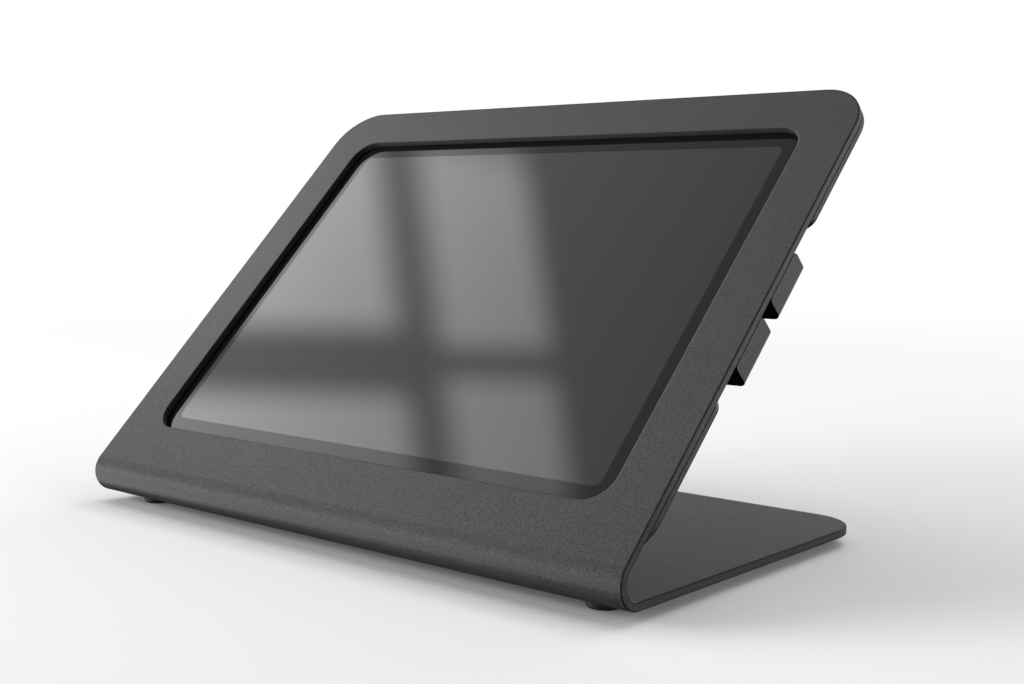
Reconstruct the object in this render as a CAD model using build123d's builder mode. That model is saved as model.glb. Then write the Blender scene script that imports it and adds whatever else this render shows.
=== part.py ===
from build123d import *
import math
import os

# A tabletop touchscreen kiosk. One steel plate is folded into a flat base and a screen face that leans
# back at 45 degrees. A tablet lies behind a window in that face, inside a spacer ring, and a pan-shaped
# rear cover holds it there with eight tamper-resistant screws.
#
# Frame: millimetres, +X to the viewer's right, +Y away from the viewer, +Z up. The origin is on the
# counter, at the middle of the kiosk's footprint.
#
# "Depth" is the distance behind the screen face's outer surface, and "up" is the distance up the slope
# from the window's centre.

# ------------------------------------------------------------------------------ driving dimensions
TILT = 45.0                 # screen face, degrees above the counter
PLATE = 3.0                 # folded steel plate
WIDTH = 284.4               # plate, side to side
FACE_LENGTH = 215.8         # screen face, from the end of the bend to the top edge
BASE_DEPTH = 147.0          # base, from the bend's axis to the rear edge
BEND_RADIUS = 9.2           # outside of the bend
CORNER_RADIUS = 20.0        # outer corners of the plate and of the spacer ring
EDGE_ROUND = 0.35           # worn and coated edge of the cut plate

WINDOW_WIDTH = 244.2
WINDOW_HEIGHT = 175.1
WINDOW_CORNER = 11.0
WINDOW_CENTRE = 107.7       # from the end of the bend, up the slope

TABLET_WIDTH = 247.6
TABLET_HEIGHT = 178.5
TABLET_CORNER = 12.0
TABLET_THICKNESS = 5.9
TABLET_FIT = 0.7            # gap between the tablet's edge and the spacer ring
GASKET = 0.15               # felt strip between the plate and the tablet's glass
GASKET_WIDTH = 1.4

SPACER = 2.5                # spacer ring
NOTCH_HALF = 37.5           # half length of the ring's opening for the charging plug
NOTCH_CORNER = 6.8
NOTCH_CUT = 70.0            # width of the cut that opens the ring, half of it beyond the ring's edge
RING_EDGE = 0.25

COVER_HEIGHT = 190.0
COVER_WIDTH = 270.0
COVER_CORNER = 14.0
COVER_SHEET = 1.5
COVER_BEND = 3.0            # outside radius of the cover's folds
COVER_BACK = 13.2           # depth of the cover's outer surface
EAR_GAP = 7.2               # cable slot between the two ears
EAR_LENGTH = 22.8
EAR_CORNER = 1.5
EAR_SEAM = 0.15             # gap between an ear's lip and the plate
EAR_ROOT = 126.0            # where the ears join the cover, from the centre line
BAY_HALF = 28.5             # half length of the opening in the cover's side wall
CABLE_SLOT_END = 120.0      # inner end of the slot between the ears, from the centre line

FOOT_DIAMETER = 12.7
FOOT_HEIGHT = 4.0           # rubber and adhesive together
FOOT_TAPE = 0.2
FOOT_ROUND = 1.1
TAPE_INSET = 0.6            # the adhesive disc is this much smaller all round
FOOT_X = 121.9
FRONT_FOOT = 9.3            # from the bend's axis, towards the rear
REAR_FOOT = 127.0

SCREW_X = 129.0
SCREW_UPS = (-82.0, -52.0, 52.0, 82.0)
THREAD = 4.0                # M4
RUNNING_GAP = 0.05          # between moving and fixed parts, on each side
STANDOFF_RADIUS = 3.0
STANDOFF_HEAD_RADIUS = 4.0
STANDOFF_HEAD = 1.6         # depth of the blind pocket in the plate
STANDOFF_BORE_DEPTH = 7.6
SCREW_HEAD_RADIUS = 3.8
SCREW_HEAD = 2.2
SCREW_HEAD_ROUND = 1.76
SCREW_SOCKET_FLATS = 2.5
SCREW_SOCKET_DEPTH = 1.3
SCREW_PIN_RADIUS = 0.5
SCREW_LENGTH = 7.0
SCREW_TIP_CHAMFER = 0.4

# ------------------------------------------------------------------------------ worked-out places
SIN = math.sin(math.radians(TILT))
COS = math.cos(math.radians(TILT))
SPACER_BACK = PLATE + SPACER
COVER_INSIDE = COVER_BACK - COVER_SHEET
GLASS_FRONT = PLATE + GASKET
TABLET_BACK = GLASS_FRONT + TABLET_THICKNESS

# The footprint runs from the front of the bend to the top rear edge of the spacer ring, which stands
# behind the base, so the bend's axis lies this far from the origin.
FOOTPRINT_REAR = COS * FACE_LENGTH - SIN * (BEND_RADIUS - SPACER_BACK)
BEND_Y = -(FOOTPRINT_REAR - BEND_RADIUS) / 2
BEND_Z = FOOT_HEIGHT + BEND_RADIUS

SCREEN_OUT = Vector(0, -SIN, COS)
UP_SLOPE = Vector(0, COS, SIN)
SCREEN_CENTRE = Vector(0, BEND_Y, BEND_Z) + SCREEN_OUT * BEND_RADIUS + UP_SLOPE * WINDOW_CENTRE
SCREEN = Plane(origin=SCREEN_CENTRE, x_dir=(1, 0, 0), z_dir=SCREEN_OUT)
OUTWARD = Axis((0, 0, 0), SCREEN_OUT)
FACE_MIDDLE = FACE_LENGTH / 2 - WINDOW_CENTRE
SCREW_SPOTS = [(side * SCREW_X, up) for side in (-1, 1) for up in SCREW_UPS]


def at_depth(depth):
    """The plane parallel to the screen face, that far behind it. Its normal points at the viewer."""
    return SCREEN.offset(-depth)


def across(up):
    """The plane across the slope at that height. Its own axes are the kiosk's X and the depth."""
    return Plane(origin=SCREEN_CENTRE + UP_SLOPE * up, x_dir=(1, 0, 0), z_dir=UP_SLOPE)


def lengthwise(x):
    """The plane along the slope at that X. Its own axes are the way up the slope and outward."""
    return Plane(origin=SCREEN_CENTRE + Vector(x, 0, 0), x_dir=UP_SLOPE, z_dir=(1, 0, 0))


# How much longer or wider than its neighbours an edge has to be to be picked out.
SEAM_MARGIN = 0.05
PICK_MARGIN = 1.0


def longer_than(length):
    """Picks the edges of an outline, and passes over the short seams that cross the sheet."""
    return lambda edge: edge.length > length + SEAM_MARGIN


os.makedirs("parts", exist_ok=True)


def save(block, name):
    """Labels a finished piece and writes it as its own STEP file."""
    block.part.label = name
    export_step(block.part, f"parts/{name}.step")


# ------------------------------------------------------------------------------ stand_frame
# The base, the bend and the screen face are one plate, drawn from the side and pulled across.
with BuildPart() as stand_frame:
    with BuildSketch(Plane.YZ.offset(-WIDTH / 2)):
        with BuildLine():
            base = Line((BEND_Y + BASE_DEPTH, FOOT_HEIGHT), (BEND_Y, FOOT_HEIGHT))
            bend = JernArc(base @ 1, base % 1, BEND_RADIUS, -(180 - TILT))
            PolarLine(bend @ 1, FACE_LENGTH, direction=bend % 1)
            offset(amount=PLATE, side=Side.RIGHT)
        make_face()
    extrude(amount=WIDTH)
    fillet(stand_frame.edges().filter_by(OUTWARD), CORNER_RADIUS)
    fillet(stand_frame.edges().filter_by(Axis.Z), CORNER_RADIUS)
    # The fold lines run the plate's full width, and they stay sharp.
    outline = stand_frame.edges().filter_by(longer_than(PLATE))
    outline = outline.filter_by(lambda e: e.length < WIDTH - PICK_MARGIN)
    fillet(outline, EDGE_ROUND)
    with BuildSketch(at_depth(0)):
        RectangleRounded(WINDOW_WIDTH, WINDOW_HEIGHT, WINDOW_CORNER)
    extrude(amount=-PLATE, mode=Mode.SUBTRACT)
    fillet(stand_frame.edges(Select.LAST).filter_by(longer_than(PLATE)), EDGE_ROUND)
    with BuildSketch(at_depth(PLATE)):
        with Locations(*SCREW_SPOTS):
            Circle(STANDOFF_HEAD_RADIUS)
    extrude(amount=STANDOFF_HEAD, mode=Mode.SUBTRACT)
save(stand_frame, "stand_frame")

# ------------------------------------------------------------------------------ spacer_frame
# A ring round the tablet, with the face's own outline, open on the right for the charging plug.
with BuildPart() as spacer_frame:
    with BuildSketch(at_depth(SPACER_BACK)):
        with Locations((0, FACE_MIDDLE)):
            RectangleRounded(WIDTH, FACE_LENGTH, CORNER_RADIUS)
        RectangleRounded(
            TABLET_WIDTH + 2 * TABLET_FIT,
            TABLET_HEIGHT + 2 * TABLET_FIT,
            TABLET_CORNER + TABLET_FIT,
            mode=Mode.SUBTRACT,
        )
        with Locations((WIDTH / 2, 0)):
            Rectangle(NOTCH_CUT, 2 * NOTCH_HALF, mode=Mode.SUBTRACT)
        with Locations(*SCREW_SPOTS):
            Circle(STANDOFF_RADIUS + RUNNING_GAP, mode=Mode.SUBTRACT)
    extrude(amount=SPACER)
    notch_corners = (
        spacer_frame.edges()
        .filter_by(OUTWARD)
        .filter_by(lambda e: abs(SCREEN.to_local_coords(e.center()).Y) < NOTCH_HALF + PICK_MARGIN)
    )
    fillet(notch_corners.group_by(Axis.X)[-1], NOTCH_CORNER)
    # The ring's outline is rounded, and its screw holes are left sharp.
    outline = spacer_frame.edges().filter_by(longer_than(SPACER)).filter_by(GeomType.CIRCLE, reverse=True)
    corner_arcs = spacer_frame.edges().filter_by(GeomType.CIRCLE).filter_by(
        lambda e: e.radius > STANDOFF_RADIUS + PICK_MARGIN
    )
    fillet(outline + corner_arcs, RING_EDGE)
save(spacer_frame, "spacer_frame")

# ------------------------------------------------------------------------------ standoffs
# Concealed-head threaded standoffs, pressed into blind pockets so that nothing shows in front.
with BuildPart() as standoffs:
    with BuildSketch(at_depth(PLATE)):
        with Locations(*SCREW_SPOTS):
            Circle(STANDOFF_HEAD_RADIUS)
    extrude(amount=STANDOFF_HEAD)
    with BuildSketch(at_depth(COVER_INSIDE)):
        with Locations(*SCREW_SPOTS):
            Circle(STANDOFF_RADIUS)
    extrude(amount=COVER_INSIDE - PLATE)
    with BuildSketch(at_depth(COVER_INSIDE)):
        with Locations(*SCREW_SPOTS):
            Circle(THREAD / 2 + RUNNING_GAP / 2)
    extrude(amount=STANDOFF_BORE_DEPTH, mode=Mode.SUBTRACT)
save(standoffs, "standoffs")

# ------------------------------------------------------------------------------ rear_cover
# A shallow folded pan. Its right wall is open between the ears' outer ends, and the two ears reach out
# flush with the plate's edge, folded forward to its back, with a cable slot between them.
with BuildPart() as rear_cover:
    with BuildSketch(at_depth(COVER_BACK)):
        RectangleRounded(COVER_WIDTH, COVER_HEIGHT, COVER_CORNER)
    extrude(amount=COVER_BACK - SPACER_BACK)
    fillet(rear_cover.faces().sort_by(OUTWARD)[0].edges(), COVER_BEND)
    offset(amount=-COVER_SHEET, openings=rear_cover.faces().sort_by(OUTWARD)[-1])
    with BuildSketch(at_depth(COVER_INSIDE)):
        with Locations((COVER_WIDTH / 2, 0)):
            Rectangle(2 * (COVER_WIDTH / 2 - EAR_ROOT), 2 * BAY_HALF)
    extrude(amount=COVER_INSIDE - SPACER_BACK, mode=Mode.SUBTRACT)
    for start in (EAR_GAP / 2, -EAR_GAP / 2 - EAR_LENGTH):
        with BuildSketch(across(start)):
            with BuildLine():
                skin = Line((EAR_ROOT, COVER_BACK), (WIDTH / 2 - COVER_BEND, COVER_BACK))
                fold = JernArc(skin @ 1, skin % 1, COVER_BEND, -90)
                Line(fold @ 1, (WIDTH / 2, PLATE + EAR_SEAM))
                offset(amount=COVER_SHEET, side=Side.RIGHT)
            make_face()
        extrude(amount=EAR_LENGTH)
    lip_corners = rear_cover.edges().filter_by(Axis.X).group_by(OUTWARD)[-1]
    fillet(lip_corners, EAR_CORNER)
    with BuildSketch(at_depth(COVER_BACK)):
        with Locations(((COVER_WIDTH / 2 + CABLE_SLOT_END) / 2 + EAR_GAP / 2, 0)):
            SlotOverall(COVER_WIDTH / 2 - CABLE_SLOT_END + EAR_GAP, EAR_GAP)
        with Locations(*SCREW_SPOTS):
            Circle(THREAD / 2 + RUNNING_GAP)
    extrude(amount=COVER_SHEET, mode=Mode.SUBTRACT)
save(rear_cover, "rear_cover")

# ------------------------------------------------------------------------------ cover_screws
# Button heads with a hexagon socket and a centre pin, which an ordinary key can't turn.
with BuildPart() as cover_screws:
    with BuildSketch(at_depth(COVER_BACK)):
        with Locations(*SCREW_SPOTS):
            Circle(SCREW_HEAD_RADIUS)
    extrude(amount=-SCREW_HEAD)
    rims = cover_screws.edges().group_by(OUTWARD)[0]
    fillet(rims, SCREW_HEAD_ROUND)
    with BuildSketch(at_depth(COVER_BACK + SCREW_HEAD)):
        with Locations(*SCREW_SPOTS):
            RegularPolygon(SCREW_SOCKET_FLATS / 2, 6, major_radius=False)
            Circle(SCREW_PIN_RADIUS, mode=Mode.SUBTRACT)
    extrude(amount=SCREW_SOCKET_DEPTH, mode=Mode.SUBTRACT)
    with BuildSketch(at_depth(COVER_BACK)):
        with Locations(*SCREW_SPOTS):
            Circle(THREAD / 2 - RUNNING_GAP / 2)
    extrude(amount=SCREW_LENGTH)
    chamfer(cover_screws.edges().group_by(OUTWARD)[-1], SCREW_TIP_CHAMFER)
save(cover_screws, "cover_screws")

# ------------------------------------------------------------------------------ foam_pads
# Four pads glued inside the cover press the tablet against the window.
PAD_WIDTH = 50.0
PAD_HEIGHT = 30.0
PAD_CORNER = 3.0
PAD_SPACING_X = 150.0
PAD_SPACING_UP = 110.0
with BuildPart() as foam_pads:
    with BuildSketch(at_depth(COVER_INSIDE)):
        with GridLocations(PAD_SPACING_X, PAD_SPACING_UP, 2, 2):
            RectangleRounded(PAD_WIDTH, PAD_HEIGHT, PAD_CORNER)
    extrude(amount=COVER_INSIDE - TABLET_BACK)
save(foam_pads, "foam_pads")

# ------------------------------------------------------------------------------ window_gasket
with BuildPart() as window_gasket:
    with BuildSketch(at_depth(GLASS_FRONT)):
        RectangleRounded(TABLET_WIDTH, TABLET_HEIGHT, TABLET_CORNER)
        RectangleRounded(
            TABLET_WIDTH - 2 * GASKET_WIDTH,
            TABLET_HEIGHT - 2 * GASKET_WIDTH,
            TABLET_CORNER - GASKET_WIDTH,
            mode=Mode.SUBTRACT,
        )
    extrude(amount=GASKET)
save(window_gasket, "window_gasket")

# ------------------------------------------------------------------------------ feet
for name, side, back in (
    ("foot_front_left", -1, FRONT_FOOT),
    ("foot_front_right", 1, FRONT_FOOT),
    ("foot_rear_left", -1, REAR_FOOT),
    ("foot_rear_right", 1, REAR_FOOT),
):
    with BuildPart() as foot:
        with BuildSketch(Plane.XY):
            with Locations((side * FOOT_X, BEND_Y + back)):
                Circle(FOOT_DIAMETER / 2)
        extrude(amount=FOOT_HEIGHT - FOOT_TAPE)
        fillet(foot.edges().sort_by(Axis.Z)[0], FOOT_ROUND)
    save(foot, name)

with BuildPart() as foot_adhesive_discs:
    with BuildSketch(Plane.XY.offset(FOOT_HEIGHT - FOOT_TAPE)):
        with Locations((0, BEND_Y + (FRONT_FOOT + REAR_FOOT) / 2)):
            with GridLocations(2 * FOOT_X, REAR_FOOT - FRONT_FOOT, 2, 2):
                Circle(FOOT_DIAMETER / 2 - TAPE_INSET)
    extrude(amount=FOOT_TAPE)
save(foot_adhesive_discs, "foot_adhesive_discs")

# ------------------------------------------------------------------------------ tablet
# Depths of the tablet's layers, from the glass back, and its walls.
GLASS = 0.6
GLASS_INSET = 0.6           # bright rim of the housing round the glass
GLASS_STEP = 0.15           # how far the glass stands proud of that rim
DISPLAY_CELL = 0.5
BACKLIGHT = 0.9
HOUSING_WALL = 1.6
HOUSING_BACK = 0.8
HOUSING_EDGE = 1.4
INSIDE_GAP = 0.05
DISPLAY_WIDTH = 232.0
DISPLAY_HEIGHT = 163.2
DISPLAY_CORNER = 4.0
BACKLIGHT_INSET = 0.5

GLASS_BACK = GLASS_FRONT + GLASS
CELL_BACK = GLASS_BACK + DISPLAY_CELL
BAY_FRONT = CELL_BACK + BACKLIGHT + INSIDE_GAP
BAY_BACK = TABLET_BACK - HOUSING_BACK
BAY_DEPTH = BAY_BACK - BAY_FRONT
INNER_WIDTH = TABLET_WIDTH - 2 * HOUSING_WALL
INNER_HEIGHT = TABLET_HEIGHT - 2 * HOUSING_WALL

BUTTON_LENGTH = 9.8
BUTTON_THICKNESS = 2.0
BUTTON_PROUD = 0.4
BUTTON_EDGE = 0.3
BUTTON_SKIRT = 0.4          # collar inside the wall that keeps the button in
SKIRT_PAST_ENDS = 0.8       # how far the collar reaches past the button, at each end and each side
SKIRT_PAST_SIDES = 0.4
BUTTON_GAP = 0.06           # round each button, in its slot
BUTTON_DEPTH = GLASS_BACK + (BAY_BACK - GLASS_BACK) / 2
POWER_UP = 70.0
VOLUME_UP_X = -92.0
VOLUME_DOWN_X = -78.0
SWITCH_CLEARANCE = 0.3      # between a button's skirt and its dome switch

PORT_WIDTH = 9.0
PORT_THICKNESS = 2.9
PORT_LENGTH = 7.3
PORT_SHELL = 0.3
PORT_FIT = 0.1
PORT_INSET = 0.4            # how far the sleeve starts inside the housing's wall
PORT_END_WALL = 1.0
TONGUE_WIDTH = 6.6
TONGUE = 0.7
TONGUE_SETBACK = 0.6        # how far the tongue stays behind the sleeve's mouth
PORT_DEPTH = BAY_FRONT + BAY_DEPTH / 2

CAMERA_X = -110.0
CAMERA_UP = 76.0
CAMERA_RADIUS = 3.6

BOARD_X = -95.0
BOARD_WIDTH = 26.0
BOARD_HEIGHT = 136.0
BOARD = 0.8
BOARD_CORNER = 1.5
BOARD_STANDOFF = 0.6
BOARD_BACK = BAY_BACK - BOARD_STANDOFF
BOARD_FRONT = BOARD_BACK - BOARD
BOARD_SCREW_SPOTS = [(BOARD_X + dx, up) for dx in (-10.5, 10.5) for up in (-65.0, 65.0)]
BOARD_SCREW_RADIUS = 0.8
BOARD_SCREW_HEAD_RADIUS = 1.4
BOARD_SCREW_HEAD = 0.5
BOSS_WALL = 0.4             # how far each boss reaches past its screw's head

# cover_glass: the tablet's front glass, whose rim lies under the window's edge.
with BuildPart() as cover_glass:
    with BuildSketch(at_depth(GLASS_BACK)):
        RectangleRounded(
            TABLET_WIDTH - 2 * GLASS_INSET, TABLET_HEIGHT - 2 * GLASS_INSET, TABLET_CORNER - GLASS_INSET
        )
    extrude(amount=GLASS)
save(cover_glass, "cover_glass")

with BuildPart() as display_panel:
    with BuildSketch(at_depth(CELL_BACK)):
        RectangleRounded(DISPLAY_WIDTH, DISPLAY_HEIGHT, DISPLAY_CORNER)
    extrude(amount=DISPLAY_CELL)
save(display_panel, "display_panel")

with BuildPart() as backlight_unit:
    with BuildSketch(at_depth(CELL_BACK + BACKLIGHT)):
        RectangleRounded(
            DISPLAY_WIDTH - 2 * BACKLIGHT_INSET,
            DISPLAY_HEIGHT - 2 * BACKLIGHT_INSET,
            DISPLAY_CORNER - BACKLIGHT_INSET,
        )
    extrude(amount=BACKLIGHT)
save(backlight_unit, "backlight_unit")

# tablet_housing: a one-piece shell with a ledge for the glass, slots for three buttons, the charging
# port's mouth, the camera's hole and four bosses for the logic board.
with BuildPart() as tablet_housing:
    with BuildSketch(at_depth(TABLET_BACK)):
        RectangleRounded(TABLET_WIDTH, TABLET_HEIGHT, TABLET_CORNER)
    extrude(amount=TABLET_THICKNESS - GLASS_STEP)
    fillet(tablet_housing.faces().sort_by(OUTWARD)[0].edges(), HOUSING_EDGE)
    with BuildSketch(at_depth(GLASS_BACK)):
        RectangleRounded(
            TABLET_WIDTH - 2 * GLASS_INSET, TABLET_HEIGHT - 2 * GLASS_INSET, TABLET_CORNER - GLASS_INSET
        )
    extrude(amount=GLASS, mode=Mode.SUBTRACT)
    with BuildSketch(at_depth(BAY_BACK)):
        RectangleRounded(INNER_WIDTH, INNER_HEIGHT, TABLET_CORNER - HOUSING_WALL)
    extrude(amount=BAY_BACK - GLASS_BACK, mode=Mode.SUBTRACT)
    with BuildSketch(at_depth(BAY_BACK)):
        with Locations(*BOARD_SCREW_SPOTS):
            Circle(BOARD_SCREW_HEAD_RADIUS + BOSS_WALL)
    extrude(amount=BOARD_STANDOFF)
    with BuildSketch(at_depth(BOARD_BACK)):
        with Locations(*BOARD_SCREW_SPOTS):
            Circle(BOARD_SCREW_RADIUS)
    extrude(amount=-BOARD_STANDOFF, mode=Mode.SUBTRACT)
    with BuildSketch(lengthwise(TABLET_WIDTH / 2)):
        with Locations((0, -PORT_DEPTH)):
            SlotOverall(PORT_WIDTH + 2 * PORT_FIT, PORT_THICKNESS + 2 * PORT_FIT)
    extrude(amount=-2 * HOUSING_WALL, mode=Mode.SUBTRACT)
    with BuildSketch(lengthwise(-TABLET_WIDTH / 2)):
        with Locations((POWER_UP, -BUTTON_DEPTH)):
            SlotOverall(BUTTON_LENGTH + 2 * BUTTON_GAP, BUTTON_THICKNESS + 2 * BUTTON_GAP)
    extrude(amount=2 * HOUSING_WALL, mode=Mode.SUBTRACT)
    with BuildSketch(across(TABLET_HEIGHT / 2)):
        with Locations((VOLUME_UP_X, BUTTON_DEPTH), (VOLUME_DOWN_X, BUTTON_DEPTH)):
            SlotOverall(BUTTON_LENGTH + 2 * BUTTON_GAP, BUTTON_THICKNESS + 2 * BUTTON_GAP)
    extrude(amount=-2 * HOUSING_WALL, mode=Mode.SUBTRACT)
    with BuildSketch(at_depth(TABLET_BACK)):
        with Locations((CAMERA_X, CAMERA_UP)):
            Circle(CAMERA_RADIUS)
    extrude(amount=HOUSING_BACK, mode=Mode.SUBTRACT)
save(tablet_housing, "tablet_housing")

# Buttons: a rounded cap through the wall, with a wider skirt inside it.
BUTTON_INSIDE_X = -TABLET_WIDTH / 2 + HOUSING_WALL
with BuildPart() as power_button:
    with BuildSketch(lengthwise(BUTTON_INSIDE_X)):
        with Locations((POWER_UP, -BUTTON_DEPTH)):
            SlotOverall(BUTTON_LENGTH, BUTTON_THICKNESS)
    extrude(amount=-HOUSING_WALL - BUTTON_PROUD)
    fillet(power_button.edges().group_by(Axis.X)[0], BUTTON_EDGE)
    with BuildSketch(lengthwise(BUTTON_INSIDE_X + INSIDE_GAP)):
        with Locations((POWER_UP, -BUTTON_DEPTH)):
            SlotOverall(BUTTON_LENGTH + 2 * SKIRT_PAST_ENDS, BUTTON_THICKNESS + 2 * SKIRT_PAST_SIDES)
    extrude(amount=BUTTON_SKIRT)
    with BuildSketch(lengthwise(BUTTON_INSIDE_X)):
        with Locations((POWER_UP, -BUTTON_DEPTH)):
            SlotOverall(BUTTON_LENGTH, BUTTON_THICKNESS)
    extrude(amount=INSIDE_GAP)
save(power_button, "power_button")

BUTTON_INSIDE_UP = TABLET_HEIGHT / 2 - HOUSING_WALL
ALONG_SLOPE = Axis((0, 0, 0), UP_SLOPE)
for name, place in (("volume_up_button", VOLUME_UP_X), ("volume_down_button", VOLUME_DOWN_X)):
    with BuildPart() as volume_button:
        with BuildSketch(across(BUTTON_INSIDE_UP - INSIDE_GAP)):
            with Locations((place, BUTTON_DEPTH)):
                SlotOverall(BUTTON_LENGTH, BUTTON_THICKNESS)
        extrude(amount=INSIDE_GAP + HOUSING_WALL + BUTTON_PROUD)
        fillet(volume_button.edges().group_by(ALONG_SLOPE)[-1], BUTTON_EDGE)
        with BuildSketch(across(BUTTON_INSIDE_UP - INSIDE_GAP)):
            with Locations((place, BUTTON_DEPTH)):
                SlotOverall(BUTTON_LENGTH + 2 * SKIRT_PAST_ENDS, BUTTON_THICKNESS + 2 * SKIRT_PAST_SIDES)
        extrude(amount=-BUTTON_SKIRT)
    save(volume_button, name)

# button_switches: three dome switches, each just inside its button's skirt.
SWITCH_LENGTH = 4.0
SWITCH_THICKNESS = 2.2
SWITCH_BODY = 1.2
SWITCH_DOME = 0.5
SWITCH_DOME_RADIUS = 0.75
SWITCH_START = INSIDE_GAP + BUTTON_SKIRT + SWITCH_CLEARANCE
with BuildPart() as button_switches:
    with BuildSketch(lengthwise(BUTTON_INSIDE_X + SWITCH_START + SWITCH_DOME)):
        with Locations((POWER_UP, -BUTTON_DEPTH)):
            Rectangle(SWITCH_LENGTH, SWITCH_THICKNESS)
    extrude(amount=SWITCH_BODY)
    with BuildSketch(lengthwise(BUTTON_INSIDE_X + SWITCH_START)):
        with Locations((POWER_UP, -BUTTON_DEPTH)):
            Circle(SWITCH_DOME_RADIUS)
    extrude(amount=SWITCH_DOME)
    with BuildSketch(across(BUTTON_INSIDE_UP - SWITCH_START - SWITCH_DOME)):
        with Locations((VOLUME_UP_X, BUTTON_DEPTH), (VOLUME_DOWN_X, BUTTON_DEPTH)):
            Rectangle(SWITCH_LENGTH, SWITCH_THICKNESS)
    extrude(amount=-SWITCH_BODY)
    with BuildSketch(across(BUTTON_INSIDE_UP - SWITCH_START)):
        with Locations((VOLUME_UP_X, BUTTON_DEPTH), (VOLUME_DOWN_X, BUTTON_DEPTH)):
            Circle(SWITCH_DOME_RADIUS)
    extrude(amount=-SWITCH_DOME)
save(button_switches, "button_switches")

# Two pouch cells fill the middle of the tablet.
CELL_WIDTH = 76.0
CELL_HEIGHT = 132.0
CELL_CENTRE_X = 39.5
CELL_CORNER = 2.0
CELL_EDGE = 0.8
for name, side in (("battery_left", -1), ("battery_right", 1)):
    with BuildPart() as battery:
        with BuildSketch(at_depth(BAY_BACK - INSIDE_GAP)):
            with Locations((side * CELL_CENTRE_X, 0)):
                RectangleRounded(CELL_WIDTH, CELL_HEIGHT, CELL_CORNER)
        extrude(amount=BAY_DEPTH - 3 * INSIDE_GAP)
        fillet(battery.edges().group_by(OUTWARD)[0], CELL_EDGE)
    save(battery, name)

# logic_board: a long board at the left, with its packages on the side that faces the display.
# Each package: place across and up from the board's centre, width and length.
CHIPS = ((-4.0, 28.0, 13.0, 13.0), (5.0, -34.0, 9.0, 11.0), (-6.0, -46.0, 7.0, 7.0), (6.0, 50.0, 8.0, 6.0))
CHIP_HEIGHT = 0.8
with BuildPart() as logic_board:
    with BuildSketch(at_depth(BOARD_BACK)):
        with Locations((BOARD_X, 0)):
            RectangleRounded(BOARD_WIDTH, BOARD_HEIGHT, BOARD_CORNER)
        with Locations(*BOARD_SCREW_SPOTS):
            Circle(BOARD_SCREW_RADIUS, mode=Mode.SUBTRACT)
    extrude(amount=BOARD)
    for dx, up, chip_width, chip_length in CHIPS:
        with BuildSketch(at_depth(BOARD_FRONT)):
            with Locations((BOARD_X + dx, up)):
                Rectangle(chip_width, chip_length)
        extrude(amount=CHIP_HEIGHT)
save(logic_board, "logic_board")

# board_shield: a stamped can over the processor's part of the board.
SHIELD_WIDTH = 22.0
SHIELD_HEIGHT = 42.0
SHIELD_UP = 22.0
SHIELD_CORNER = 1.0
SHIELD_SHEET = 0.2
with BuildPart() as board_shield:
    with BuildSketch(at_depth(BOARD_FRONT)):
        with Locations((BOARD_X, SHIELD_UP)):
            RectangleRounded(SHIELD_WIDTH, SHIELD_HEIGHT, SHIELD_CORNER)
    extrude(amount=BOARD_FRONT - BAY_FRONT - INSIDE_GAP)
    offset(amount=-SHIELD_SHEET, openings=board_shield.faces().sort_by(OUTWARD)[0])
save(board_shield, "board_shield")

with BuildPart() as board_screws:
    with BuildSketch(at_depth(BOARD_FRONT)):
        with Locations(*BOARD_SCREW_SPOTS):
            Circle(BOARD_SCREW_HEAD_RADIUS)
    extrude(amount=BOARD_SCREW_HEAD)
    with BuildSketch(at_depth(BOARD_FRONT)):
        with Locations(*BOARD_SCREW_SPOTS):
            Circle(BOARD_SCREW_RADIUS)
    extrude(amount=-(BOARD + BOARD_STANDOFF))
save(board_screws, "board_screws")

# display_flex: a thin ribbon from the back of the display, stepping down to the board's lower end.
FLEX = 0.15
FLEX_WIDTH = 14.0
FLEX_START = -79.0
FLEX_END = -60.0
FLEX_HEAD = 5.0             # flat length at the display's end
FLEX_STEP = 4.0             # length over which it steps down
FLEX_TAIL = 3.0             # distance it stops short of its socket
with BuildPart() as display_flex:
    with BuildSketch(lengthwise(BOARD_X - FLEX_WIDTH / 2)):
        with BuildLine():
            Polyline(
                (FLEX_START, -BAY_FRONT - INSIDE_GAP),
                (FLEX_START + FLEX_HEAD, -BAY_FRONT - INSIDE_GAP),
                (FLEX_START + FLEX_HEAD + FLEX_STEP, -BOARD_FRONT + FLEX),
                (FLEX_END - FLEX_TAIL, -BOARD_FRONT + FLEX),
            )
            offset(amount=FLEX, side=Side.RIGHT)
        make_face()
    extrude(amount=FLEX_WIDTH)
save(display_flex, "display_flex")

# speakers: four boxes along the short sides.
SPEAKER_WIDTH = 10.0
SPEAKER_HEIGHT = 32.0
SPEAKER_CORNER = 1.5
SPEAKER_X = 115.5
SPEAKER_UP = 40.0
SPEAKER_CLEARANCE = 0.3
with BuildPart() as speakers:
    with BuildSketch(at_depth(BAY_BACK)):
        with GridLocations(2 * SPEAKER_X, 2 * SPEAKER_UP, 2, 2):
            RectangleRounded(SPEAKER_WIDTH, SPEAKER_HEIGHT, SPEAKER_CORNER)
    extrude(amount=BAY_DEPTH - SPEAKER_CLEARANCE)
save(speakers, "speakers")

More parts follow.
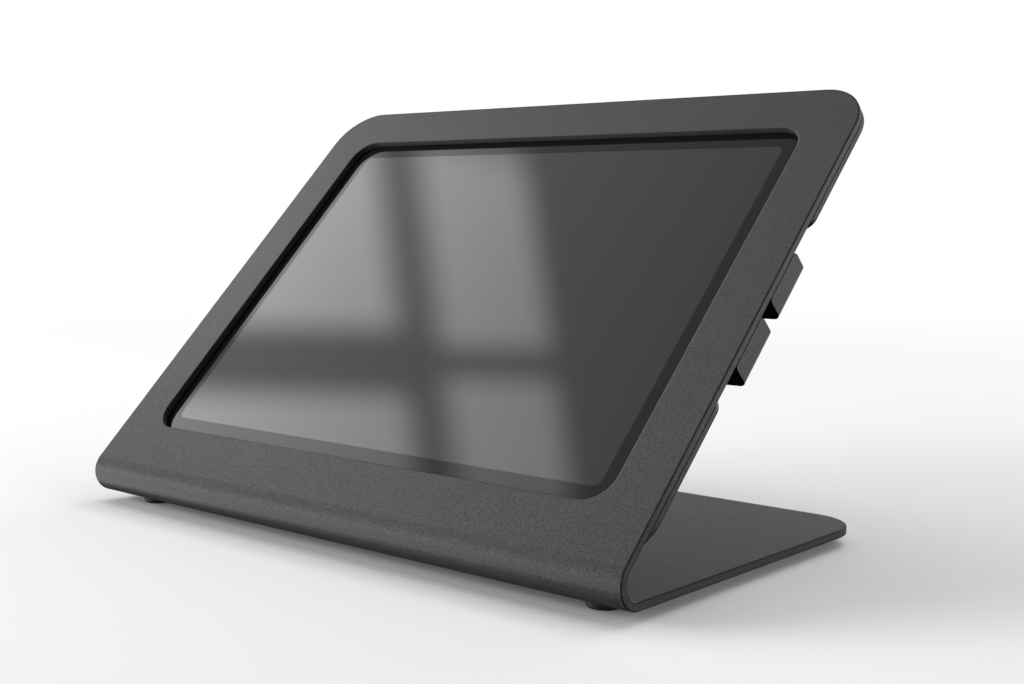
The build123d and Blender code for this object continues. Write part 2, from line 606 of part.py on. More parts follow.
# charge_port: a metal sleeve round a flat tongue, behind its mouth in the housing's right wall.
with BuildPart() as charge_port:
    with BuildSketch(lengthwise(TABLET_WIDTH / 2 - PORT_INSET)):
        with Locations((0, -PORT_DEPTH)):
            SlotOverall(PORT_WIDTH, PORT_THICKNESS)
    extrude(amount=-PORT_LENGTH)
    with BuildSketch(lengthwise(TABLET_WIDTH / 2 - PORT_INSET)):
        with Locations((0, -PORT_DEPTH)):
            SlotOverall(PORT_WIDTH - 2 * PORT_SHELL, PORT_THICKNESS - 2 * PORT_SHELL)
    extrude(amount=PORT_END_WALL - PORT_LENGTH, mode=Mode.SUBTRACT)
    with BuildSketch(lengthwise(TABLET_WIDTH / 2 - PORT_INSET - PORT_LENGTH)):
        with Locations((0, -PORT_DEPTH)):
            Rectangle(TONGUE_WIDTH, TONGUE)
    extrude(amount=PORT_LENGTH - TONGUE_SETBACK)
save(charge_port, "charge_port")

# front_camera: in the black border at the left, beside the display.
FRONT_CAMERA_X = -118.8
FRONT_CAMERA_SIDE = 4.6
FRONT_CAMERA_CORNER = 0.6
FRONT_CAMERA_BODY = 1.4
FRONT_LENS_RADIUS = 1.7
FRONT_LENS = 0.6
with BuildPart() as front_camera:
    with BuildSketch(at_depth(GLASS_BACK + FRONT_LENS + FRONT_CAMERA_BODY)):
        with Locations((FRONT_CAMERA_X, 0)):
            RectangleRounded(FRONT_CAMERA_SIDE, FRONT_CAMERA_SIDE, FRONT_CAMERA_CORNER)
    extrude(amount=FRONT_CAMERA_BODY)
    with BuildSketch(at_depth(GLASS_BACK + FRONT_LENS)):
        with Locations((FRONT_CAMERA_X, 0)):
            Circle(FRONT_LENS_RADIUS)
    extrude(amount=FRONT_LENS - INSIDE_GAP)
save(front_camera, "front_camera")

REAR_CAMERA_SIDE = 8.0
REAR_CAMERA_CORNER = 0.8
REAR_LENS_RADIUS = 3.2
REAR_LENS = 0.5
REAR_CAMERA_CLEARANCE = 0.3
with BuildPart() as rear_camera:
    with BuildSketch(at_depth(BAY_BACK - REAR_LENS)):
        with Locations((CAMERA_X, CAMERA_UP)):
            RectangleRounded(REAR_CAMERA_SIDE, REAR_CAMERA_SIDE, REAR_CAMERA_CORNER)
    extrude(amount=BAY_DEPTH - REAR_LENS - REAR_CAMERA_CLEARANCE)
    with BuildSketch(at_depth(BAY_BACK)):
        with Locations((CAMERA_X, CAMERA_UP)):
            Circle(REAR_LENS_RADIUS)
    extrude(amount=REAR_LENS)
save(rear_camera, "rear_camera")

with BuildPart() as camera_window:
    with BuildSketch(at_depth(TABLET_BACK)):
        with Locations((CAMERA_X, CAMERA_UP)):
            Circle(CAMERA_RADIUS)
    extrude(amount=HOUSING_BACK)
save(camera_window, "camera_window")
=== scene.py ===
import bpy
import math
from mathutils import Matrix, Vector


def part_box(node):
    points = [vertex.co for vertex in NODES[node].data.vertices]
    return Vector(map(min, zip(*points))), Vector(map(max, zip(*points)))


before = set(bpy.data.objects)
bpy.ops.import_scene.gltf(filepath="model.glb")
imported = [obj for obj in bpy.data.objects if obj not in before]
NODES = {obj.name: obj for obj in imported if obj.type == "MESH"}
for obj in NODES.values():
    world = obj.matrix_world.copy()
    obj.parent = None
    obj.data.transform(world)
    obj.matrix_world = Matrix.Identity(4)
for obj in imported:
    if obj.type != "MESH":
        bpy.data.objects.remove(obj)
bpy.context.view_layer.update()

MM = 0.001
ACROSS = (1.0, 0.0, 0.0)
BACK = (0.0, 1.0, 0.0)
UP = (0.0, 0.0, 1.0)

# ------------------------------------------------------------------ the folded sheet and its window
TILT = math.radians(45.0)
SCREEN_OUT = Vector((0.0, -math.sin(TILT), math.cos(TILT)))
UP_SLOPE = Vector((0.0, math.cos(TILT), math.sin(TILT)))
SHEET = 3.0 * MM            # thickness
SHEET_CORNER = 20.0 * MM    # radius of the outer corners
BEND_RADIUS = 9.2 * MM      # outside of the bend between base and screen face
FACE_LENGTH = 215.8 * MM    # screen face, from the end of the bend to the top edge
BASE_DEPTH = 147.0 * MM     # base, from the bend's axis to the rear edge
WINDOW_WIDTH = 244.2 * MM
WINDOW_HEIGHT = 175.1 * MM
WINDOW_CORNER = 11.0 * MM
DISPLAY_WIDTH = 228.9 * MM  # the part inside the glass's printed border
DISPLAY_HEIGHT = 160.1 * MM
DISPLAY_CORNER = 3.5 * MM

stand_low, stand_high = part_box("stand_frame")
SHEET_WIDTH = stand_high.x - stand_low.x
BEND_AXIS = Vector((0.0, stand_low.y + BEND_RADIUS, stand_low.z + BEND_RADIUS))
glass_low, glass_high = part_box("cover_glass")
GLASS_CENTRE = (glass_low + glass_high) / 2


# ------------------------------------------------------------------ node helpers
class Shader:
    """One node material under construction, with short calls for the nodes that every finish uses."""

    def __init__(self, name):
        self.material = bpy.data.materials.new(name)
        self.material.use_nodes = True
        self.tree = self.material.node_tree
        self.bsdf = self.tree.nodes["Principled BSDF"]
        self.output = self.tree.nodes["Material Output"]
        self.place = self.tree.nodes.new("ShaderNodeTexCoord").outputs["Object"]
        self.geometry = self.tree.nodes.new("ShaderNodeNewGeometry")

    def link(self, value, socket):
        if isinstance(value, bpy.types.NodeSocket):
            self.tree.links.new(value, socket)
        else:
            socket.default_value = value

    def set(self, **inputs):
        for name, value in inputs.items():
            self.link(value, self.bsdf.inputs[name.replace("_", " ")])

    def math(self, operation, a, b=0.0, c=0.0):
        node = self.tree.nodes.new("ShaderNodeMath")
        node.operation = operation
        for socket, value in zip(node.inputs, (a, b, c)):
            self.link(value, socket)
        return node.outputs[0]

    def vector(self, operation, a, b=(0.0, 0.0, 0.0)):
        node = self.tree.nodes.new("ShaderNodeVectorMath")
        node.operation = operation
        self.link(a, node.inputs[0])
        self.link(b, node.inputs[1])
        return node.outputs["Value" if operation in ("DOT_PRODUCT", "LENGTH") else "Vector"]

    def scaled(self, vector, factor):
        node = self.tree.nodes.new("ShaderNodeVectorMath")
        node.operation = "SCALE"
        self.link(vector, node.inputs[0])
        self.link(factor, node.inputs["Scale"])
        return node.outputs["Vector"]

    def noise(self, size, detail):
        """Smooth noise whose features are about size metres across."""
        node = self.tree.nodes.new("ShaderNodeTexNoise")
        self.link(self.place, node.inputs["Vector"])
        node.inputs["Scale"].default_value = 1.0 / size
        node.inputs["Detail"].default_value = detail
        node.inputs["Roughness"].default_value = 0.5
        return node.outputs["Fac"]

    def ramp(self, value, low, high, out_low=0.0, out_high=1.0, smooth=False):
        """Value low becomes out_low and high becomes out_high, with no change beyond them."""
        node = self.tree.nodes.new("ShaderNodeMapRange")
        if smooth:
            node.interpolation_type = "SMOOTHSTEP"
        names = ("Value", "From Min", "From Max", "To Min", "To Max")
        for name, item in zip(names, (value, low, high, out_low, out_high)):
            self.link(item, node.inputs[name])
        return node.outputs["Result"]

    def edge(self, value, middle, soft, out_low=0.0, out_high=1.0):
        """A soft step from out_low to out_high as the value passes middle."""
        return self.ramp(value, middle - soft, middle + soft, out_low, out_high, smooth=True)

    def blend(self, share, a, b):
        """Number a where share is 0, b where it is 1."""
        return self.ramp(share, 0.0, 1.0, a, b)

    def mix(self, share, a, b):
        """Colour a where share is 0, b where it is 1."""
        node = self.tree.nodes.new("ShaderNodeMix")
        node.data_type = "RGBA"
        self.link(share, node.inputs["Factor"])
        for value, socket in ((a, node.inputs["A"]), (b, node.inputs["B"])):
            self.link((*value, 1.0), socket)
        return node.outputs["Result"]

    def bump(self, height, distance, strength):
        node = self.tree.nodes.new("ShaderNodeBump")
        self.link(strength, node.inputs["Strength"])
        node.inputs["Distance"].default_value = distance
        self.link(height, node.inputs["Height"])
        return node.outputs["Normal"]

    def seen(self):
        """1 where the camera looks straight at the surface, 0 where it is mirrored or lights something."""
        return self.tree.nodes.new("ShaderNodeLightPath").outputs["Is Camera Ray"]


def grey(level):
    return (level, level, level)


def corner_reach(s, past_x, past_y):
    """Distance from the middle of a corner's round, or past the straight sides beside it."""
    x = s.math("MAXIMUM", past_x, 0.0)
    y = s.math("MAXIMUM", past_y, 0.0)
    return s.math("SQRT", s.math("ADD", s.math("MULTIPLY", x, x), s.math("MULTIPLY", y, y)))


def past_rounded_box(s, width, height, corner):
    """How far a place on the slope is past the corner centres of a box round the glass's middle.

    Gives the distance across, the distance up and the reach of the two, and the place's height."""
    offset = s.vector("SUBTRACT", s.place, tuple(GLASS_CENTRE))
    side = s.math("ABSOLUTE", s.vector("DOT_PRODUCT", offset, ACROSS))
    up = s.vector("DOT_PRODUCT", offset, tuple(UP_SLOPE))
    past_side = s.math("SUBTRACT", side, width / 2 - corner)
    past_end = s.math("SUBTRACT", s.math("ABSOLUTE", up), height / 2 - corner)
    return past_side, past_end, corner_reach(s, past_side, past_end), up


# ------------------------------------------------------------------ powder coat
COAT_COLOUR = (0.0525, 0.0545, 0.0575)
COAT_GLOSS = 0.40
COAT_ROUGHNESS = (0.33, 0.41)
GRAIN = 0.52 * MM           # size of one grain of the sandy texture
COARSE = 3.0 * GRAIN        # clusters of grains
MOTTLE = 35 * MM            # wide, faint changes of tone
MOTTLE_TONES = (0.97, 1.03)
NOISE_SPAN = (0.3, 0.7)     # most of a noise's values lie between these
SPECK_SPAN = (0.32, 0.74)   # the same for the specks, and how far they go below and above the mean tone
SPECK_SWING = (-0.8, 1.4)
SPECK_LOW = 20 * MM         # the specks show more strongly low down than high up: real grain, made stronger near the fold as painted glints of its highlight
SPECK_HIGH = 150 * MM
SPECK_CONTRAST_LOW = 0.44
SPECK_CONTRAST_HIGH = 0.22
SPECK_CONTRAST_BASE = 0.10
RELIEF_HEIGHT = 0.08 * MM
FINE_SHARE = 0.6            # share of the relief that single grains make, the rest being clusters
RELIEF = 0.8                # strength of the relief, and on the smoother base
BASE_RELIEF = 0.3
EDGE_LINE = 0.45 * MM       # width of the painted shade line along a cut edge: on the rim, and on the face
FACE_LINE = 0.60 * MM
EDGE_SHADE_TONE = 0.42            # how dark the painted shade makes the coat there
EDGE_SOFT = 0.12 * MM
END_SHADE = 0.07             # painted shade: how dark the faces are that look down the slope
END_FACING = (0.10, 0.50)   # how squarely a face looks down the slope where that starts and is complete
RING = 2.5 * MM             # thickness of the spacer frame, right behind the sheet
RING_MIDDLE = 4.05 * MM     # set 0.2 mm short of its middle, so the painted shade line is thinner at the seam than behind
SIDE_WALL_SHADE = 0.40       # painted shade on the window's inner wall at the left and right
DEEP_WALL_SHADE = 0.60       # painted shade on the wall where it meets the glass
WALL_SHADE_IN_GLASS = 0.05   # painted shade on the wall as the glass mirrors it
SIDE_LINE_TONE = 2.00       # the window's left and right front edges catch the light
# painted shade line along the window's lower front edge
LOWER_LINE_SHADE = 0.62
LINE_DEPTH = 0.3 * MM       # depth at which the front edge gives way to the wall
LINE_SOFT = 0.1 * MM


def place_on_sheet(s):
    """Depth below the folded sheet's outer surface, distance in from its outline, and which part it is."""
    from_axis = s.vector("SUBTRACT", s.place, tuple(BEND_AXIS))
    flat = s.vector("MULTIPLY", from_axis, (0.0, 1.0, 1.0))
    up_slope = s.vector("DOT_PRODUCT", flat, tuple(UP_SLOPE))
    outward = s.vector("DOT_PRODUCT", flat, tuple(SCREEN_OUT))
    back = s.vector("DOT_PRODUCT", flat, BACK)
    up = s.vector("DOT_PRODUCT", flat, UP)
    on_plate = s.math("MULTIPLY", s.math("GREATER_THAN", up_slope, 0.0), s.math("GREATER_THAN", outward, 0.0))
    on_base = s.math("MULTIPLY", s.math("GREATER_THAN", back, 0.0), s.math("LESS_THAN", up, 0.0))
    reach = s.blend(on_base, s.vector("LENGTH", flat), s.math("MULTIPLY", up, -1.0))
    depth = s.math("SUBTRACT", BEND_RADIUS, s.blend(on_plate, reach, outward))
    past_base = s.math("SUBTRACT", back, BASE_DEPTH - SHEET_CORNER)
    past_plate = s.math("SUBTRACT", up_slope, FACE_LENGTH - SHEET_CORNER)
    past_end = s.blend(on_plate, s.blend(on_base, -1.0, past_base), past_plate)
    side = s.math("ABSOLUTE", s.vector("DOT_PRODUCT", s.place, ACROSS))
    past_side = s.math("SUBTRACT", side, SHEET_WIDTH / 2 - SHEET_CORNER)
    inside = s.math("SUBTRACT", SHEET_CORNER, corner_reach(s, past_side, past_end))
    return depth, inside, on_plate, on_base


def cut_edge_shade(s, depth, inside, middle, thickness):
    """Mask of the painted shade: 1 along the edges where a sheet's faces meet its cut rim, 0 elsewhere."""
    from_middle = s.math("ABSOLUTE", s.math("SUBTRACT", depth, middle))
    near_face = s.edge(from_middle, thickness / 2 - EDGE_LINE, EDGE_SOFT)
    near_rim = s.edge(inside, FACE_LINE, EDGE_SOFT, 1.0, 0.0)
    return s.math("MULTIPLY", near_face, near_rim)


def window_edge_light_and_shade(s, depth):
    """Painted light and shade on the coat round the window: painted shade on the inner wall, darker towards
    the glass and in the glass's reflection, a painted highlight on the side edges, a thin painted shade line
    below.
    """
    past_side, past_end, reach, up = past_rounded_box(s, WINDOW_WIDTH, WINDOW_HEIGHT, WINDOW_CORNER)
    outside = s.math("SUBTRACT", reach, WINDOW_CORNER)
    near = s.edge(outside, EDGE_LINE, EDGE_SOFT, 1.0, 0.0)
    half = WINDOW_CORNER / 2
    sideways = s.edge(s.math("SUBTRACT", past_side, past_end), 0.0, half)
    lower_shade_line = s.ramp(up, half, -half, 1.0, LOWER_LINE_SHADE)
    line = s.blend(sideways, lower_shade_line, SIDE_LINE_TONE)
    deep_shade = s.ramp(depth, LINE_DEPTH, SHEET, 1.0, DEEP_WALL_SHADE)
    wall = s.math("MULTIPLY", s.blend(sideways, 1.0, SIDE_WALL_SHADE), deep_shade)
    # painted shade: the wall looks darker still where the glass mirrors it
    wall = s.math("MULTIPLY", wall, s.blend(s.seen(), WALL_SHADE_IN_GLASS, 1.0))
    on_wall = s.ramp(depth, LINE_DEPTH - LINE_SOFT, LINE_DEPTH + LINE_SOFT)
    return s.blend(near, 1.0, s.blend(on_wall, line, wall))


def powder_coat(name, sheet=None, window=False, shaded_ends=False):
    """Fine-textured dark grey powder coat: sandy relief and specks, faint mottling, painted shade along cut
    edges, and where asked painted light and shade round the window and painted shade on faces that look down
    the slope.

    sheet is the depth of the sheet's middle and its thickness, where painted shade along the cut edges is
    wanted."""
    s = Shader(name)
    fine = s.noise(GRAIN, detail=1.0)
    coarse = s.noise(COARSE, detail=2.0)
    mottle = s.noise(MOTTLE, detail=3.0)
    height = s.vector("DOT_PRODUCT", s.place, UP)
    # speck strength: real grain, stronger low down as painted glints
    speck_and_glint_contrast = s.ramp(height, SPECK_LOW, SPECK_HIGH, SPECK_CONTRAST_LOW, SPECK_CONTRAST_HIGH)
    relief_strength = RELIEF
    if sheet:
        depth, inside, on_plate, on_base = place_on_sheet(s)
        speck_and_glint_contrast = s.blend(on_base, speck_and_glint_contrast, SPECK_CONTRAST_BASE)
        relief_strength = s.blend(on_base, RELIEF, BASE_RELIEF)
    speck = s.math("MULTIPLY_ADD", s.ramp(fine, *SPECK_SPAN, *SPECK_SWING), speck_and_glint_contrast, 1.0)
    tone = s.math("MULTIPLY", speck, s.ramp(mottle, *NOISE_SPAN, *MOTTLE_TONES))
    if sheet:
        # painted shade along the cut edges and seams
        edge = cut_edge_shade(s, depth, inside, *sheet)
        tone = s.math("MULTIPLY", tone, s.blend(edge, 1.0, EDGE_SHADE_TONE))
    if window:
        # painted light and shade round the window
        tone = s.math("MULTIPLY", tone, s.blend(on_plate, 1.0, window_edge_light_and_shade(s, depth)))
    if shaded_ends:
        # painted shade on faces that look down the slope
        downhill = s.vector("DOT_PRODUCT", s.geometry.outputs["Normal"], tuple(-UP_SLOPE))
        tone = s.math("MULTIPLY", tone, s.ramp(downhill, *END_FACING, 1.0, END_SHADE))
    clusters = s.math("MULTIPLY", coarse, 1.0 - FINE_SHARE)
    relief = s.math("MULTIPLY_ADD", fine, FINE_SHARE, clusters)
    s.set(
        Base_Color=s.scaled(COAT_COLOUR, tone),
        Roughness=s.ramp(coarse, *NOISE_SPAN, *COAT_ROUGHNESS),
        # the gloss follows the coat's tone, so the painted shade dims it too
        Specular_IOR_Level=s.math("MULTIPLY", COAT_GLOSS, s.math("MINIMUM", tone, 1.0)),
        Normal=s.bump(relief, RELIEF_HEIGHT, relief_strength),
    )
    return s.material


# ------------------------------------------------------------------ glass and the other finishes
BORDER_GREY = 0.010
DISPLAY_GREY = 0.022
DISPLAY_GLOSS = 0.35
DISPLAY_ROUGHNESS = (0.05, 0.07)
GLASS_ROUGHNESS = 0.015
GLASS_IOR = 1.5
DISPLAY_EDGE_SOFT = 0.15 * MM


def screen_glass():
    """Cover glass over a black printed border and, inside it, the grey of a sleeping display."""
    s = Shader("screen_glass")
    reach = past_rounded_box(s, DISPLAY_WIDTH, DISPLAY_HEIGHT, DISPLAY_CORNER)[2]
    on_display = s.ramp(reach, DISPLAY_CORNER + DISPLAY_EDGE_SOFT, DISPLAY_CORNER - DISPLAY_EDGE_SOFT)
    s.set(
        Base_Color=s.mix(on_display, grey(BORDER_GREY), grey(DISPLAY_GREY)),
        Roughness=s.blend(s.noise(30 * MM, detail=2.0), *DISPLAY_ROUGHNESS),
        Specular_IOR_Level=s.blend(on_display, 0.0, DISPLAY_GLOSS),
        Coat_Weight=1.0,
        Coat_Roughness=GLASS_ROUGHNESS,
        Coat_IOR=GLASS_IOR,
    )
    return s.material


def simple(name, colour, roughness, metallic=0.0, grain=0.4 * MM, relief=0.01 * MM):
    """A finish with its own fine relief and a little variation of tone and gloss."""
    darker = 0.86
    swing = 0.06
    smoothest = 0.02
    s = Shader(name)
    fine = s.noise(grain, detail=3.0)
    wide = s.noise(30 * grain, detail=2.0)
    dark = tuple(c * darker for c in colour)
    s.set(
        Base_Color=s.mix(s.ramp(wide, 0.35, 0.65), dark, colour),
        Roughness=s.ramp(fine, *NOISE_SPAN, max(smoothest, roughness - swing), roughness + swing),
        Metallic=metallic,
        Normal=s.bump(fine, relief, 0.6),
    )
    return s.material


def dress(material, *nodes):
    """Gives every slot of these nodes the material."""
    for node in nodes:
        slots = NODES[node].data.materials
        if not slots:
            slots.append(material)
        for i in range(len(slots)):
            slots[i] = material


STEEL = (0.56, 0.56, 0.57)
TIN = (0.6, 0.6, 0.58)
ALUMINIUM = (0.24, 0.245, 0.255)
SOLDER_MASK = (0.01, 0.06, 0.035)
POLYIMIDE = (0.42, 0.18, 0.03)


def dress_stand():
    dress(powder_coat("powder_coat", sheet=(SHEET / 2, SHEET), window=True), "stand_frame")
    dress(powder_coat("powder_coat_ring", sheet=(RING_MIDDLE, RING), shaded_ends=True), "spacer_frame")
    dress(powder_coat("powder_coat_cover", shaded_ends=True), "rear_cover")
    rubber = simple("rubber", grey(0.012), 0.62, grain=0.5 * MM, relief=0.03 * MM)
    dress(rubber, "foot_front_left", "foot_front_right", "foot_rear_left", "foot_rear_right")
    dress(simple("adhesive_tape", grey(0.6), 0.5), "foot_adhesive_discs")
    dress(simple("stainless", STEEL, 0.30, metallic=1.0), "standoffs", "cover_screws", "board_screws")
    dress(simple("foam", grey(0.05), 0.95, grain=0.8 * MM, relief=0.3 * MM), "foam_pads")
    dress(simple("felt", grey(0.008), 0.95, grain=0.3 * MM, relief=0.1 * MM), "window_gasket")


def dress_tablet():
    shell = simple("anodised_aluminium", ALUMINIUM, 0.42, metallic=1.0, grain=0.12 * MM, relief=0.006 * MM)
    dress(shell, "tablet_housing", "power_button", "volume_up_button", "volume_down_button")
    dress(screen_glass(), "cover_glass")
    dress(simple("display_cell", grey(0.03), 0.2), "display_panel")
    dress(simple("reflector", grey(0.8), 0.4), "backlight_unit")
    dress(simple("pouch", grey(0.03), 0.45), "battery_left", "battery_right")
    dress(simple("solder_mask", SOLDER_MASK, 0.35), "logic_board")
    dress(simple("tinned_can", TIN, 0.35, metallic=1.0), "board_shield")
    dress(simple("switch_domes", TIN, 0.3, metallic=1.0), "button_switches")
    dress(simple("port_sleeve", grey(0.6), 0.3, metallic=1.0), "charge_port")
    dress(simple("polyimide", POLYIMIDE, 0.35), "display_flex")
    dress(simple("speaker_plastic", grey(0.02), 0.5), "speakers")
    dress(simple("camera_plastic", grey(0.015), 0.4), "front_camera", "rear_camera")
    dress(simple("lens_glass", grey(0.004), 0.05), "camera_window")


# ------------------------------------------------------------------ studio helpers
def stage_mesh(name, points, faces, material):
    """A mesh of the studio, which isn't part of the object. None of them casts a shadow."""
    mesh = bpy.data.meshes.new(name)
    mesh.from_pydata([tuple(p) for p in points], [], faces)
    mesh.materials.append(material)
    piece = bpy.data.objects.new(name, mesh)
    bpy.context.scene.collection.objects.link(piece)
    piece.visible_shadow = False
    return piece


def glowing(name, level, sampled=True):
    """A material that only glows; level is a number or a function that builds it."""
    s = Shader(name)
    emission = s.tree.nodes.new("ShaderNodeEmission")
    s.link(level(s) if callable(level) else level, emission.inputs["Strength"])
    s.tree.links.new(emission.outputs["Emission"], s.output.inputs["Surface"])
    if not sampled:
        s.material.cycles.emission_sampling = "NONE"
    return s.material


def ring_wall(radius, height, sides=96):
    """Points and faces of an upright round wall that stands on the floor."""
    turns = [2 * math.pi * i / sides for i in range(sides)]
    points = [(radius * math.cos(t), radius * math.sin(t), z) for t in turns for z in (0.0, height)]
    faces = [(2 * i, 2 * i + 1, (2 * i + 3) % (2 * sides), (2 * i + 2) % (2 * sides)) for i in range(sides)]
    return points, faces


def only_mirrored(piece):
    """Hides a piece from everything but reflections."""
    piece.visible_camera = False
    piece.visible_diffuse = False


# ------------------------------------------------------------------ floor, backdrop and even light
FLOOR_SIZE = 40.0
FLOOR_NEAR = 0.45           # distance from the object at which the floor starts to fade to white
FLOOR_FAR = 1.2
FLOOR_ALBEDO = 0.88
FLOOR_GLOW = 0.03           # lifts the contact shadows a little, as bounced light does
FLOOR_BOUNCE = 0.24         # how bright the floor is for the object above it
BACKDROP_RADIUS = 8.0
FILL = 0.05                 # even light from all round


def floor_material():
    """A matt pale floor round the object, which fades to pure white."""
    s = Shader("floor")
    seen = s.seen()
    albedo = s.blend(seen, FLOOR_BOUNCE, FLOOR_ALBEDO)
    s.set(
        Base_Color=s.mix(albedo, grey(0.0), grey(1.0)),
        Roughness=0.7,
        Specular_IOR_Level=0.2,
        Emission_Color=(1.0, 1.0, 1.0, 1.0),
        Emission_Strength=s.math("MULTIPLY", seen, FLOOR_GLOW),
    )
    white = s.tree.nodes.new("ShaderNodeEmission")
    white.inputs["Strength"].default_value = 1.0
    fade = s.tree.nodes.new("ShaderNodeMixShader")
    distance = s.vector("LENGTH", s.place)
    s.link(s.ramp(distance, FLOOR_NEAR, FLOOR_FAR, smooth=True), fade.inputs["Fac"])
    s.tree.links.new(s.bsdf.outputs["BSDF"], fade.inputs[1])
    s.tree.links.new(white.outputs["Emission"], fade.inputs[2])
    s.tree.links.new(fade.outputs["Shader"], s.output.inputs["Surface"])
    s.material.cycles.emission_sampling = "NONE"
    return s.material


def add_floor():
    h = FLOOR_SIZE / 2
    corners = [(-h, -h, 0.0), (h, -h, 0.0), (h, h, 0.0), (-h, h, 0.0)]
    floor = stage_mesh("floor", corners, [(0, 1, 2, 3)], floor_material())
    floor.visible_glossy = False


def add_world():
    world = bpy.data.worlds.new("studio")
    world.use_nodes = True
    bpy.context.scene.world = world
    background = world.node_tree.nodes["Background"]
    background.inputs["Color"].default_value = (1.0, 1.0, 1.0, 1.0)
    background.inputs["Strength"].default_value = FILL


def add_backdrop():
    """A white surround that only the camera sees."""
    points, faces = ring_wall(BACKDROP_RADIUS, BACKDROP_RADIUS)
    top = len(points)
    points.append((0.0, 0.0, BACKDROP_RADIUS))
    faces += [(f[1], f[2], top) for f in faces]
    backdrop = stage_mesh("backdrop", points, faces, glowing("backdrop", 1.0, sampled=False))
    backdrop.visible_diffuse = False
    backdrop.visible_glossy = False
    backdrop.visible_transmission = False


# ------------------------------------------------------------------ lights
MIRRORED_WALL_RADIUS = 2.5  # pale wall that the coating mirrors at a shallow angle
MIRRORED_WALL_HEIGHT = 0.9
MIRRORED_WALL_GLOW = 0.82
CARD_START = 0.10           # the card lies from here on backwards
CARD_REACH = 2.5
CARD_HEIGHT = -0.001        # just under the floor, which casts no shadow, so it lights only the object
CARD_GLOW = 0.6
LIGHT_AIM = (0.0, 0.0, 0.05)

# Six square softboxes, which the glass doesn't mirror: place and power in watts.
SOFTBOX_SIDE = 1.2
SOFTBOXES = {
    "overhead": ((0.0, 0.0, 2.0), 6.0),
    "behind": ((0.0, 1.4, 1.4), 14.0),
    "left": ((-1.4, 0.0, 1.4), 11.0),
    "behind_right": ((1.0, 1.0, 1.4), 5.0),
    "front_left_low": ((-1.3, -1.3, 0.5), 42.0),
    "right_low": ((1.9, 0.3, 0.4), 19.0),
}

# A low panel on the left that only the coating mirrors, along the fold. It reaches below the floor's
# level, because the floor is never mirrored and so doesn't hide it.
LOW_PANEL_PLACE = (-1.15, -0.9, -0.36)
LOW_PANEL_SIZE = (1.8, 1.1)
LOW_PANEL_POWER = 8.5
LOW_PANEL_AIM = (0.0, -0.07, 0.02)


def add_mirrored_wall():
    """The pale wall round the studio, seen only as a reflection."""

    def level(s):
        height = s.vector("DOT_PRODUCT", s.place, UP)
        full = 0.4 * MIRRORED_WALL_HEIGHT
        return s.ramp(height, MIRRORED_WALL_HEIGHT, full, 0.0, MIRRORED_WALL_GLOW, smooth=True)

    points, faces = ring_wall(MIRRORED_WALL_RADIUS, MIRRORED_WALL_HEIGHT)
    only_mirrored(stage_mesh("mirrored_wall", points, faces, glowing("mirrored_wall", level)))


def add_rear_card():
    """The bright floor behind the object, which lights its back and sides but not the floor in view."""
    corners = [(-CARD_REACH, CARD_START, CARD_HEIGHT), (CARD_REACH, CARD_START, CARD_HEIGHT)]
    corners += [(CARD_REACH, CARD_REACH, CARD_HEIGHT), (-CARD_REACH, CARD_REACH, CARD_HEIGHT)]
    card = stage_mesh("rear_card", corners, [(0, 1, 2, 3)], glowing("rear_card", CARD_GLOW))
    card.visible_camera = False


def add_area(name, place, size, power, target):
    data = bpy.data.lights.new(name, "AREA")
    data.shape = "RECTANGLE"
    data.size, data.size_y = size
    data.energy = power
    light = bpy.data.objects.new(name, data)
    bpy.context.scene.collection.objects.link(light)
    light.location = place
    light.rotation_mode = "QUATERNION"
    light.rotation_quaternion = (Vector(target) - Vector(place)).to_track_quat("-Z", "Y")
    light.visible_glossy = False
    return light


def add_lights():
    for name, (place, power) in SOFTBOXES.items():
        add_area(name, place, (SOFTBOX_SIDE, SOFTBOX_SIDE), power, LIGHT_AIM)
    panel = add_area("low_panel", LOW_PANEL_PLACE, LOW_PANEL_SIZE, LOW_PANEL_POWER, LOW_PANEL_AIM)
    panel.visible_glossy = True
    panel.visible_diffuse = False


# ------------------------------------------------------------------ camera
CAMERA_PLACE = Vector((0.3943, -0.4171, 0.1302))
CAMERA_TURN = 41.25         # degrees to the left of +Y
CAMERA_DIP = 5.71           # degrees below the horizon
CAMERA_LENS = 49.96
SENSOR_WIDTH = 36.0
NEAREST = 10 * MM           # nothing closer than this is drawn


def add_camera():
    data = bpy.data.cameras.new("camera")
    data.sensor_width = SENSOR_WIDTH
    data.lens = CAMERA_LENS
    data.clip_start = NEAREST
    camera = bpy.data.objects.new("camera", data)
    bpy.context.scene.collection.objects.link(camera)
    camera.location = CAMERA_PLACE
    camera.rotation_euler = (math.radians(90.0 - CAMERA_DIP), 0.0, math.radians(CAMERA_TURN))
    bpy.context.scene.camera = camera


# ------------------------------------------------------------------ the window that the glass mirrors
# It stands square to the mirrored line of sight, and its lengths are in metres at that distance.
PANEL_DISTANCE = 2.5
PANEL_HALF = 1.6
BLUR = 0.051                # half the width of a soft edge
POST_PLACE = -0.102         # upright bar
POST_LEAN = -0.05
POST_HALF = 0.048
POST_LIGHT = 0.08           # share of the daylight that still shows on it
RAIL_PLACE = -0.157         # level bar, heavier to the left of the post
RAIL_LEAN = -0.09
RAIL_HALF_LEFT = 0.074
RAIL_HALF_RIGHT = 0.034
RAIL_STEP = 0.01            # half the width of the change at the post
OPENING_START = -0.78       # where the opening meets the wall, left and right
OPENING_END = 0.173
OPENING_LEAN = -0.07
OPENING_TOP = 0.33          # its upper edge leans and is softer
OPENING_TOP_LEAN = -0.30
OPENING_TOP_BLUR = 0.09
OPENING_BOTTOM = -0.48
DAYLIGHT = 1.76
DAYLIGHT_FALL = 0.88        # per metre, away from the brightest side
WALL = 0.44
WALL_FALL = 0.19


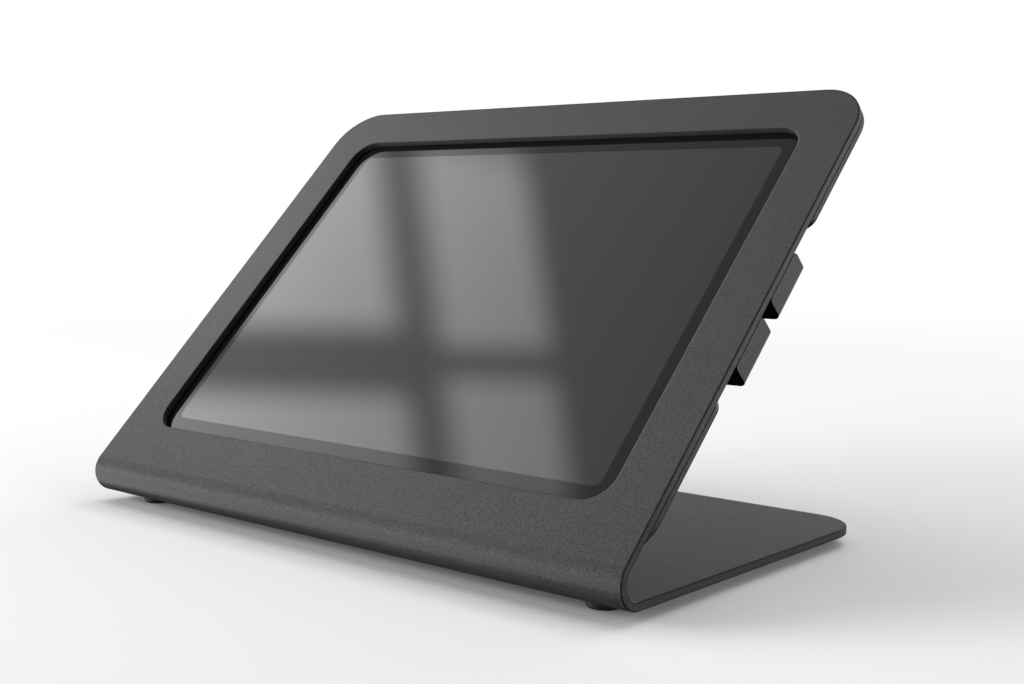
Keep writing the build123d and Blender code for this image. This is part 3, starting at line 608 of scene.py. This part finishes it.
def window_light(s, centre, right, up):
    """Brightness of the mirrored window: daylight through the opening between the bars, on a dim wall."""
    offset = s.vector("SUBTRACT", s.place, tuple(centre))
    rise = s.vector("DOT_PRODUCT", offset, tuple(right))
    run = s.vector("DOT_PRODUCT", offset, tuple(up))

    def past(value, start, slope, along):
        """How far a value is past a line that leans as it runs along."""
        return s.math("SUBTRACT", value, s.math("ADD", start, s.math("MULTIPLY", along, slope)))

    post = past(run, POST_PLACE, POST_LEAN, rise)
    rail = past(rise, RAIL_PLACE, RAIL_LEAN, run)
    opening_end = past(run, OPENING_END, OPENING_LEAN, rise)
    opening_top = past(rise, OPENING_TOP, OPENING_TOP_LEAN, run)
    rail_half = s.ramp(post, -RAIL_STEP, RAIL_STEP, RAIL_HALF_LEFT, RAIL_HALF_RIGHT)
    off_post = s.math("SUBTRACT", s.math("ABSOLUTE", post), POST_HALF)
    off_rail = s.math("SUBTRACT", s.math("ABSOLUTE", rail), rail_half)
    factors = (
        s.edge(off_post, 0.0, BLUR, POST_LIGHT, 1.0),
        s.edge(off_rail, 0.0, BLUR),
        s.edge(opening_end, 0.0, BLUR, 1.0, 0.0),
        s.edge(run, OPENING_START, BLUR),
        s.edge(opening_top, 0.0, OPENING_TOP_BLUR, 1.0, 0.0),
        s.edge(rise, OPENING_BOTTOM, BLUR),
    )
    daylight = 1.0
    for factor in factors:
        daylight = s.math("MULTIPLY", daylight, factor)
    bright = s.math("SUBTRACT", DAYLIGHT, s.math("MULTIPLY", run, DAYLIGHT_FALL))
    dim = s.math("SUBTRACT", WALL, s.math("MULTIPLY", run, WALL_FALL))
    return s.math("ADD", dim, s.math("MULTIPLY", daylight, s.math("SUBTRACT", bright, dim)))


def add_mirrored_window():
    sight = (GLASS_CENTRE - CAMERA_PLACE).normalized()
    mirrored = sight - 2 * sight.dot(SCREEN_OUT) * SCREEN_OUT
    right = mirrored.cross(Vector(UP)).normalized()
    up = right.cross(mirrored)
    centre = GLASS_CENTRE + mirrored * PANEL_DISTANCE
    sides = ((-1, -1), (1, -1), (1, 1), (-1, 1))
    corners = [centre + (right * i + up * j) * PANEL_HALF for i, j in sides]
    light = glowing("mirrored_window", lambda s: window_light(s, centre, right, up))
    only_mirrored(stage_mesh("mirrored_window", corners, [(0, 1, 2, 3)], light))


# ------------------------------------------------------------------ the scene
dress_stand()
dress_tablet()
add_floor()
add_world()
add_backdrop()
add_mirrored_wall()
add_rear_card()
add_mirrored_window()
add_lights()
add_camera()
bpy.context.scene.view_settings.view_transform = "Standard"
